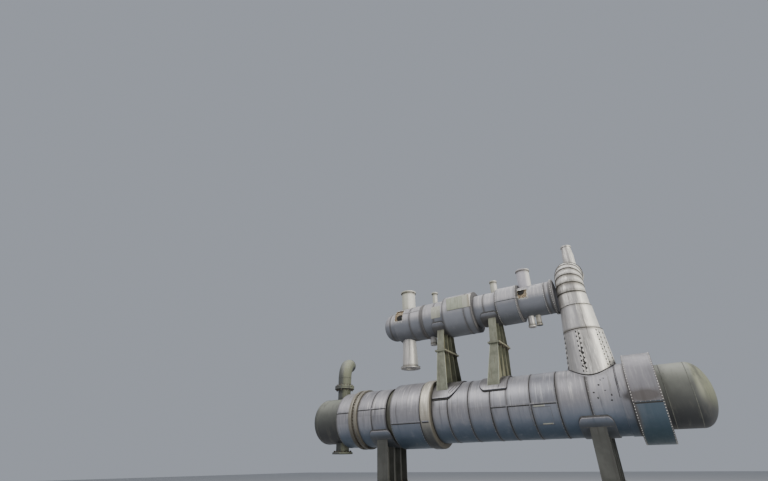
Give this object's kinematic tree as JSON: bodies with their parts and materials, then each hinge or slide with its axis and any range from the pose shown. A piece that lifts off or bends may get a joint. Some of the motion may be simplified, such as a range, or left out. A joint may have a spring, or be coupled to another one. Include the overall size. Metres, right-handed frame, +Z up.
{
  "type": "stacked pair of clad shell-and-tube heat exchangers",
  "caption": "Two horizontal clad heat exchangers, the smaller carried above the larger on pedestals, with saddles, nozzles, domed heads and a tall clad riser with an elbow.",
  "frame": {"origin": "on the ground under the middle of the two stacked vessels", "axes": "+X along both vessels towards the bare front head, +Y the way the riser's elbow turns, +Z up"},
  "size_m": [14.02, 2.498, 8.9],
  "materials": {
    "cladding": "weathered aluminium sheet",
    "cream_cladding": "bright aluminium sheet",
    "bare_paint": "worn grey-green primer",
    "pale_paint": "matt olive-grey paint",
    "dark_band": "dull dirty paint",
    "concrete": "rough cast concrete"
  },
  "bodies": {
    "root": {"rear_head": "bare_paint", "rear_channel": "bare_paint", "rear_barrel": "cladding", "rear_flange_pair": "cream_cladding", "rear_shell": "cladding", "plain_band": "dark_band", "wide_shell": "cladding", "middle_flange_cover": "cream_cladding", "main_shell": "cladding", "front_flange_cover": "cladding", "front_channel": "bare_paint", "front_head": "bare_paint", "upper_end_cap": "cladding", "upper_rear_shell": "cladding", "upper_wide_shell": "cladding", "upper_middle_shell": "cladding", "upper_flange_cover": "cladding", "upper_front_shell": "cladding", "upper_front_cover": "cladding", "upper_side_box": "pale_paint", "rear_pier": "concrete", "rear_saddle": "pale_paint", "rear_saddle_wrap": "cladding", "front_pier": "concrete", "front_saddle": "pale_paint", "front_saddle_wrap": "cladding", "rear_pedestal_collar": "cladding", "rear_pedestal_stool": "pale_paint", "rear_pedestal_saddle": "pale_paint", "front_pedestal_collar": "cladding", "front_pedestal_stool": "pale_paint", "front_pedestal_saddle": "pale_paint", "upper_inlet_nozzle": "cladding", "upper_top_vent": "cladding", "upper_gauge_nozzle": "cladding", "upper_front_nozzle": "cladding", "upper_outlet_nozzle": "bare_paint", "upper_drain_nozzle": "bare_paint", "upper_return_nozzle": "bare_paint", "upper_test_nozzle": "bare_paint", "rear_top_nozzle": "bare_paint", "rear_bottom_nozzle": "bare_paint", "rear_top_elbow": "bare_paint", "riser_collar": "cream_cladding", "riser_barrel": "cream_cladding", "riser_elbow": "cream_cladding", "riser_vent": "cream_cladding"}
  },
  "joints": []
}
